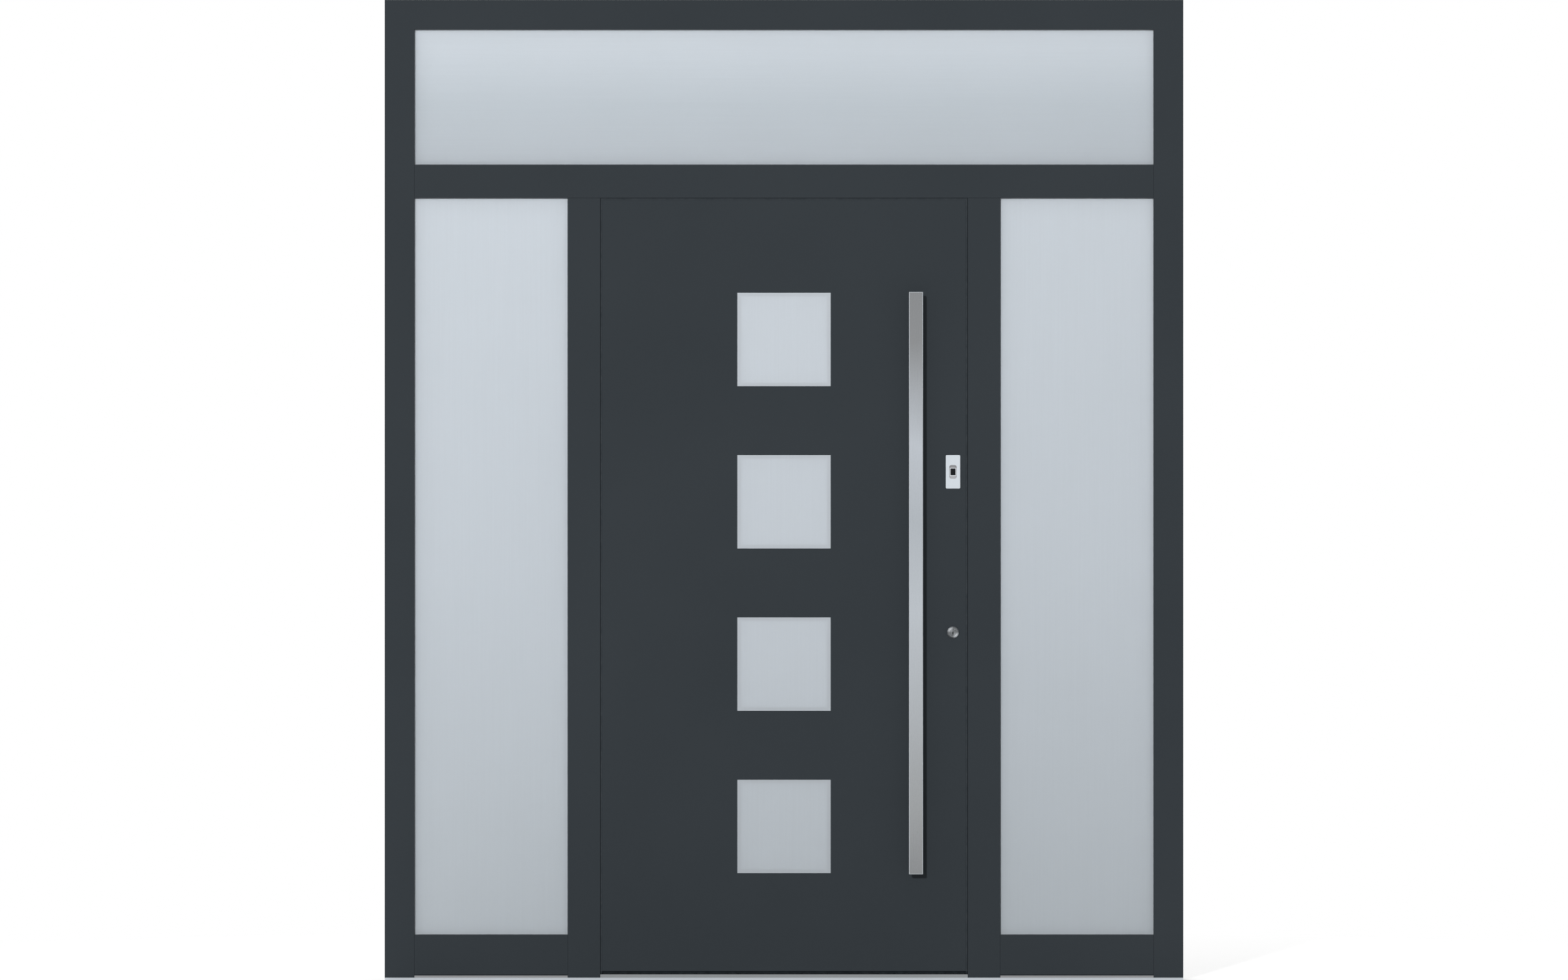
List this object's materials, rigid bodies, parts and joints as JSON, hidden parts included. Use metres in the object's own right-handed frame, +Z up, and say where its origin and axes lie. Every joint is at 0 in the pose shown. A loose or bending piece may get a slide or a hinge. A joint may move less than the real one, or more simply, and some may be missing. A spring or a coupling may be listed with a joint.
{
  "type": "front door",
  "caption": "Aluminium entrance door set with an inward opening leaf, square flush panes, a tall pull bar, a fingerprint reader and fixed satin glass side and top lights.",
  "frame": {"origin": "middle of the underside of the base sill", "axes": "+X to the right seen from outside, +Y inwards into the house, +Z up"},
  "size_m": [2.2, 0.215, 2.7],
  "materials": {
    "anthracite": "fine powder coat, matt",
    "natural_aluminium": "natural anodised",
    "satin_glass": "satin etched",
    "clear_glass": "clear",
    "spacer": "matt",
    "seal_rubber": "matt",
    "stainless": "brushed",
    "foam": "rigid foam",
    "reader_body": "satin",
    "reader_window": "gloss"
  },
  "bodies": {
    "frame": {"base_sill": "natural_aluminium", "door_threshold": "natural_aluminium", "sidelight_strips": "natural_aluminium", "left_jamb": "anthracite", "right_jamb": "anthracite", "head_rail": "anthracite", "transom_bar": "anthracite", "left_mullion": "anthracite", "right_mullion": "anthracite", "left_sidelight_rail": "anthracite", "right_sidelight_rail": "anthracite", "transom_outer_pane": "satin_glass", "left_sidelight_outer_pane": "satin_glass", "right_sidelight_outer_pane": "satin_glass", "light_inner_panes": "clear_glass", "light_spacers": "spacer", "glazing_gaskets": "seal_rubber", "transom_glazing_beads": "anthracite", "sidelight_glazing_beads": "anthracite", "hinge_frame_parts": "stainless", "strike_plates": "stainless", "door_stop_seal": "seal_rubber"},
    "leaf": {"leaf_outer_skin": "anthracite", "leaf_inner_skin": "anthracite", "leaf_hinge_stile": "anthracite", "leaf_lock_stile": "anthracite", "leaf_top_rail": "anthracite", "leaf_bottom_rail": "anthracite", "leaf_core": "foam", "leaf_outer_panes": "satin_glass", "leaf_inner_panes": "clear_glass", "leaf_pane_spacers": "spacer", "leaf_window_seals": "seal_rubber", "leaf_window_frames": "anthracite", "pull_bar": "stainless", "pull_bar_standoffs": "stainless", "reader_housing": "reader_body", "reader_sensor": "reader_window", "lock_roses": "stainless", "lock_cylinder": "stainless", "lock_faceplate": "stainless", "lock_bolts": "stainless", "lever_handle": "stainless", "leaf_bottom_seal": "seal_rubber", "hinge_leaf_parts": "stainless"}
  },
  "joints": [
    {"name": "leaf_swing", "type": "hinge", "parent": "frame", "child": "leaf", "pos_m": [-0.53, 0.061, 1.1], "axis": [0, 0, 1], "range_deg": [0, 105]}
  ]
}
